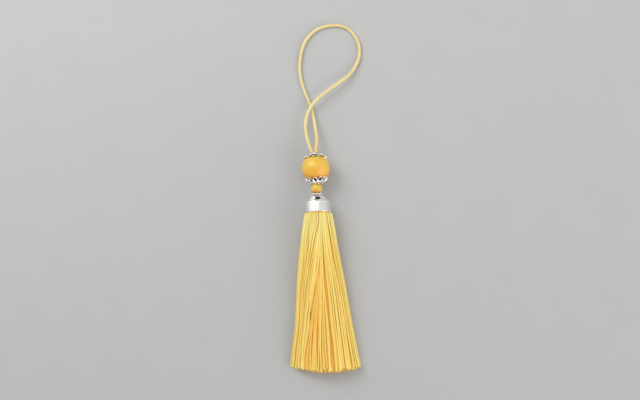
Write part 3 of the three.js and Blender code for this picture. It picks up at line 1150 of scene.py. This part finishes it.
def bead_mesh(name, middle, radius, upper_bore, lower_bore, bore_depth):
    """A drilled ball; sizes in millimetres, upper is towards +Y."""
    first = math.asin(upper_bore / radius)
    last = math.pi - math.asin(lower_bore / radius)
    arc = [first + (last - first) * i / BEAD_ARC_POINTS for i in range(BEAD_ARC_POINTS + 1)]
    ball = [(radius * math.sin(angle), radius * math.cos(angle)) for angle in arc]
    floor_up, floor_down = ball[0][1] - bore_depth, ball[-1][1] + bore_depth
    profile = [(0, floor_up), (upper_bore, floor_up), *ball, (lower_bore, floor_down), (0, floor_down)]
    bm = turned_piece(profile, BEAD_STEPS)
    bevel_rings(bm, sharper_than=40)
    table = -middle.z
    if table > -radius * MM:
        everything = bm.verts[:] + bm.edges[:] + bm.faces[:]
        cut = bmesh.ops.bisect_plane(
            bm, geom=everything, plane_co=(0, 0, table), plane_no=(0, 0, 1), clear_inner=True
        )
        rim = [part for part in cut["geom_cut"] if isinstance(part, bmesh.types.BMEdge)]
        bmesh.ops.edgeloop_fill(bm, edges=rim)
    lower = bm.verts.layers.float.new(LOWER)
    for vert in bm.verts:
        vert[lower] = -vert.co.y / (radius * MM)
    return to_mesh(bm, name, middle)


large_mesh = bead_mesh(
    "large_amber_bead", large_middle, large_radius / MM, upper_bore=1.95, lower_bore=0.8, bore_depth=2.75
)
small_mesh = bead_mesh(
    "small_amber_bead", small_middle, small_radius / MM, upper_bore=0.5, lower_bore=0.5, bore_depth=0.8
)
place_piece(large_mesh, amber, "amber_bead", "large_bead")
place_piece(small_mesh, amber, "amber_bead", "small_bead")


# %% [markdown]
# ## Filigree caps
#
# The caps are flowers of cast silver, each petal a pointed, rounded ridge round a blackened hollow,
# with a lesser hollow in its foot. Two faces are drawn for one petal on a ball round the bead: the
# foot and the petal itself. Insets of both, each carried to its own height above the ball, raise
# the ridge and sink the hollows. A spin repeats the petal, which spares modelling twelve alike, and
# Solidify with Subdivision Surface makes rounded metal of the flat bands. The lower cap's foot is
# flared like a bell, and both caps sit a few degrees turned on the bead, as loosely strung caps do.

# %% Flowers of the bead caps
# Leans are in degrees from the bead's axis and sizes in millimetres. A row of half_outline has a
# share of the petal's width, a lean and a rise. A step has an inset, a rise and how black it gets.
BEAD_FLOWER = {
    "petals": 12,
    "turn": -7,
    "seat": (-3, 1.5),
    "wall": 0.42,
    "sheet": 0.4,
    "foot": 18,
    "foot_rise": 0,
    "flare": 0,
    "flare_from": 40,
    "half_outline": [(0.5, 26, 0.05), (0.5, 31, 0.1), (0.48, 38, 0.1), (0.3, 45.5, 0.02), (0.1, 51, 0.02)],
    "tip": 52.6,
    "petal_steps": [(0.2, 0.14, 0), (0.2, 0.04, 0), (0.1, -0.3, 1)],
    "foot_steps": [(0.24, 0.04, 0), (0.06, -0.2, 0.9)],
}
LOWER_FLOWER = {
    **BEAD_FLOWER,
    "turn": 10,
    "seat": (2, 3),
    "foot": 16,
    "flare": 0.85,
    "half_outline": [(0.5, 26, 0.05), (0.5, 32, 0.1), (0.48, 38.5, 0.1), (0.3, 45, 0.04), (0.1, 50, 0.02)],
    "tip": 51.4,
}
print("bead caps of", BEAD_FLOWER["petals"], "petals")


# %% Outline of a petal
def on_ball(bm, radius, turn, lean):
    """A vertex at a turn round the Y axis, in radians, and a lean from it, in degrees."""
    out = radius * math.sin(math.radians(lean))
    up = radius * math.cos(math.radians(lean))
    return bm.verts.new((out * math.sin(turn), up, out * math.cos(turn)))


def petal_side(bm, radius, width, flower, sign):
    """Vertices up one side of a petal, the right one (1) or the left one (-1)."""
    return [
        on_ball(bm, radius + rise * MM, sign * share * width, lean)
        for share, lean, rise in flower["half_outline"]
    ]


def petal_faces(bm, radius, width, flower):
    """The foot and the petal as two faces."""
    right, left = (petal_side(bm, radius, width, flower, sign) for sign in (1, -1))
    base = [on_ball(bm, radius, 0, flower["half_outline"][0][1])]
    foot_radius = radius + flower["foot_rise"] * MM
    eye = [on_ball(bm, foot_radius, share * width, flower["foot"]) for share in (-0.5, 0, 0.5)]
    point = [on_ball(bm, radius, 0, flower["tip"])]
    foot = bm.faces.new(eye + right[:1] + base + left[:1])
    petal = bm.faces.new(base + right + point + left[::-1])
    return foot, petal


# %% Hollows and foot of a petal
def sink_face(bm, face, radius, steps, hollow_layer):
    """Inset a face in steps of (inset, rise, hollow), in millimetres, and give what is left a middle."""
    for inset, rise, hollow in steps:
        bmesh.ops.inset_individual(bm, faces=[face], thickness=inset * MM, use_even_offset=True)
        for vert in face.verts:
            vert.co *= (radius + rise * MM) / vert.co.length
            vert[hollow_layer] = hollow
    for vert in bmesh.ops.poke(bm, faces=[face])["verts"]:
        vert.co *= (radius + steps[-1][1] * MM) / vert.co.length
        vert[hollow_layer] = steps[-1][2]


def flare_foot(bm, flower):
    """Draw the foot of a petal away from the ball, so that the cap becomes a bell."""
    for vert in bm.verts:
        lean = math.degrees(vert.co.angle(Vector((0, 1, 0))))
        share = min(max((flower["flare_from"] - lean) / (flower["flare_from"] - flower["foot"]), 0), 1)
        vert.co += flower["flare"] * share * MM * vert.co.normalized()


def one_petal(radius, width, flower):
    """A bmesh of a petal and its foot, on the near side of a ball round the origin."""
    bm = bmesh.new()
    hollow_layer = bm.verts.layers.float.new(HOLLOW)
    foot, petal = petal_faces(bm, radius, width, flower)
    bm.normal_update()
    for face, steps in ((foot, flower["foot_steps"]), (petal, flower["petal_steps"])):
        if face.normal.dot(face.calc_center_median()) < 0:
            face.normal_flip()
        sink_face(bm, face, radius, steps, hollow_layer)
    flare_foot(bm, flower)
    return bm


trial = one_petal(large_radius, 2 * math.pi / BEAD_FLOWER["petals"], BEAD_FLOWER)
print("one petal and its foot have", len(trial.faces), "faces")
trial.free()


# %% Helpers for petal caps
BALL_GAP = 0.3
PETAL_MERGE = 0.01 * MM
PETAL_ROUNDING = 2


def seat_turn(flower, towards):
    """How a flower turns: round its own axis, over to its end of the bead, and as it sits there."""
    turn = Matrix.Rotation(math.radians(flower["turn"]), 3, "Y")
    if towards < 0:
        turn = Matrix.Rotation(math.pi, 3, "Z") @ turn
    nod, lean = (math.radians(angle) for angle in flower["seat"])
    return Matrix.Rotation(lean, 3, "Z") @ Matrix.Rotation(nod, 3, "X") @ turn


def petal_cap(name, node, middle, towards, ball_radius, flower):
    """A flower cup over the end of a ball, towards +Y (1) or -Y (-1)."""
    width = 2 * math.pi / flower["petals"]
    bm = one_petal(ball_radius + (BALL_GAP + flower["wall"]) * MM, width, flower)
    bmesh.ops.spin(
        bm,
        geom=bm.verts[:] + bm.edges[:] + bm.faces[:],
        cent=(0, 0, 0),
        axis=(0, 1, 0),
        angle=2 * math.pi - width,
        steps=flower["petals"] - 1,
        use_duplicate=True,
    )
    bmesh.ops.rotate(bm, verts=bm.verts, cent=(0, 0, 0), matrix=seat_turn(flower, towards))
    bmesh.ops.remove_doubles(bm, verts=bm.verts, dist=PETAL_MERGE)
    bmesh.ops.recalc_face_normals(bm, faces=bm.faces)
    cap = place_piece(to_mesh(bm, name, middle), filigree_silver, "filigree_silver", node)
    wall = cap.modifiers.new("wall", "SOLIDIFY")
    wall.thickness = flower["sheet"] * MM
    wall.offset = -1
    rounded = cap.modifiers.new("rounding", "SUBSURF")
    rounded.levels = rounded.render_levels = PETAL_ROUNDING
    return cap


# %% Caps of the large bead
petal_cap("upper_filigree", "upper_bead_cap", large_middle, 1, large_radius, BEAD_FLOWER)
petal_cap("lower_filigree", "lower_bead_cap", large_middle, -1, large_radius, LOWER_FLOWER)


# %% [markdown]
# ## Rosette
#
# A small flower under the lesser bead hides the eye of the tassel cap. It is nearly flat, so the
# ball that it is drawn on is wider than the bead and has its middle further up. The same function
# makes it.

# %% Rosette
ROSETTE_BALL = 4.9 * MM
ROSETTE_RISE = 2.3 * MM
ROSETTE_FLOWER = {
    "petals": 8,
    "turn": 0,
    "seat": (0, 0),
    "wall": 0.4,
    "sheet": 0.45,
    "foot": 9.5,
    "foot_rise": 0.1,
    "flare": 0,
    "flare_from": 20,
    "half_outline": [
        (0.5, 13.5, 0.03),
        (0.5, 18.5, 0.06),
        (0.5, 23, 0.06),
        (0.4, 26.5, 0.02),
        (0.18, 29, 0.02),
    ],
    "tip": 30,
    "petal_steps": [(0.15, 0.1, 0), (0.15, 0.04, 0), (0.06, -0.2, 0.7)],
    "foot_steps": [(0.12, 0.02, 0)],
}
rosette_middle = small_middle + Vector((0, ROSETTE_RISE, 0))
petal_cap("bead_rosette", "small_bead_cap", rosette_middle, -1, ROSETTE_BALL, ROSETTE_FLOWER)


# %% [markdown]
# ## Floor
#
# The tassel lies on a plain, pale grey sheet, with painted light that makes it a little paler
# towards its far end. One flat grid is enough for it, and a hint of mottling keeps it from looking
# drawn.

# %% Floor
FLOOR_SIZE = 4.0
FLOOR_SQUARES = 4
# Painted light: the sheet runs from the near grey to the paler far grey along Y.
FLOOR_NEAR = (0.44, 0.44, 0.44)
FLOOR_FAR = (0.565, 0.565, 0.565)
FLOOR_PAINTED_LIGHT = 2.2
FLOOR_MOTTLING = 0.2


def floor_finish():
    """Pale grey with painted light that gets paler along Y, and faint mottling."""
    finish, tree, shader = new_finish("pale grey sheet")
    coords = object_coords(tree)
    mottling = reckon(tree, "MULTIPLY", noise(tree, coords, scale=60, detail=4), FLOOR_MOTTLING)
    further = add(tree, "ShaderNodeSeparateXYZ", vector=coords).outputs["Y"]
    light_and_mottling = reckon(tree, "MULTIPLY_ADD", further, FLOOR_PAINTED_LIGHT, mottling)
    fill(shader.inputs["Base Color"], ramp(tree, light_and_mottling, (0, FLOOR_NEAR), (1, FLOOR_FAR)))
    set_plain(shader, {"Roughness": 0.7, "Specular IOR Level": 0.2})
    return finish


floor_bmesh = bmesh.new()
bmesh.ops.create_grid(
    floor_bmesh, x_segments=FLOOR_SQUARES, y_segments=FLOOR_SQUARES, size=FLOOR_SIZE / 2
)
floor_mesh = to_mesh(floor_bmesh, "floor", Vector((0, 0, 0)))
floor_mesh.materials.append(floor_finish())
floor = bpy.data.objects.new("floor", floor_mesh)
bpy.context.scene.collection.objects.link(floor)
print("floor", FLOOR_SIZE, "m wide")


# %% [markdown]
# ## Light
#
# The picture was lit in a tent of white cloth. The drum shows it: a wide white band for the bright
# half, overhead and to the left, and a greyer right. The world is that tent, as one ramp from left
# to right and another one from near to far, with one dark patch for the polished metal to mirror.
# Two lamps are behind the cloth, one high on the left and beyond the loop, the other one low on the
# right, and the bead shows both.

# %% Cloth of the tent
TENT_ACROSS = ((0, 0.7), (0.015, 0.75), (0.035, 1.0), (0.575, 1.05), (0.625, 0.8), (0.75, 0.72), (1, 0.66))
TENT_ALONG = (
    (0, 1.0),
    (0.08, 0.95),
    (0.16, 0.32),
    (0.35, 0.45),
    (0.5, 0.88),
    (0.57, 1.0),
    (0.7, 1.35),
    (0.8, 1.25),
    (0.85, 0.82),
    (0.93, 0.85),
    (1, 1.2),
)

world = bpy.data.worlds.new("white tent")
bpy.context.scene.world = world
world.use_nodes = True
sky = world.node_tree
direction = add(sky, "ShaderNodeTexCoord").outputs["Generated"]
parts = add(sky, "ShaderNodeSeparateXYZ", vector=direction).outputs


def tent_side(part, stops):
    """Brightness along one part of the direction, which goes from -1 to 1."""
    greys = [(place, (grey, grey, grey)) for place, grey in stops]
    return ramp(sky, reckon(sky, "MULTIPLY_ADD", part, 0.5, 0.5), *greys)


cloth = reckon(sky, "MULTIPLY", tent_side(parts["X"], TENT_ACROSS), tent_side(parts["Y"], TENT_ALONG))
print("tent of", len(TENT_ACROSS), "by", len(TENT_ALONG), "shades")


# %% Dark patch in the tent
DARK_PATCH_TOWARDS = (0.0, 0.8, 0.6)
DARK_PATCH_SQUEEZE = (0.5, 1, 1)
DARK_PATCH_EDGE = (0.93, 0.96)
DARK_PATCH = (0.02, 0.02, 0.02, 1)

straight = add(sky, "ShaderNodeVectorMath", {"operation": "NORMALIZE"})
fill(straight.inputs[0], stretched(sky, direction, scale=DARK_PATCH_SQUEEZE))
facing = add(sky, "ShaderNodeVectorMath", {"operation": "DOT_PRODUCT"})
fill(facing.inputs[0], straight.outputs["Vector"])
facing.inputs[1].default_value = DARK_PATCH_TOWARDS
patch = window(sky, facing.outputs["Value"], *DARK_PATCH_EDGE)
fill(sky.nodes["Background"].inputs["Color"], blended(sky, patch, cloth, DARK_PATCH))
bpy.context.scene.view_settings.view_transform = "Standard"
print("dark patch towards", DARK_PATCH_TOWARDS)


# %% Lamps
LAMPS = [
    {"name": "left lamp", "towards": (-0.57, 0.6, 0.7), "distance": 0.7, "size": 0.4, "watts": 2.4},
    {"name": "right lamp", "towards": (0.78, -0.5, 0.4), "distance": 0.8, "size": 0.7, "watts": 4},
]

for lamp in LAMPS:
    light = bpy.data.lights.new(lamp["name"], "AREA")
    light.size = lamp["size"]
    light.energy = lamp["watts"]
    towards = Vector(lamp["towards"]).normalized()
    hung = bpy.data.objects.new(lamp["name"], light)
    hung.location = aim + lamp["distance"] * towards
    hung.rotation_euler = towards.to_track_quat("Z", "Y").to_euler()
    bpy.context.scene.collection.objects.link(hung)
    print(lamp["name"], lamp["watts"], "W")
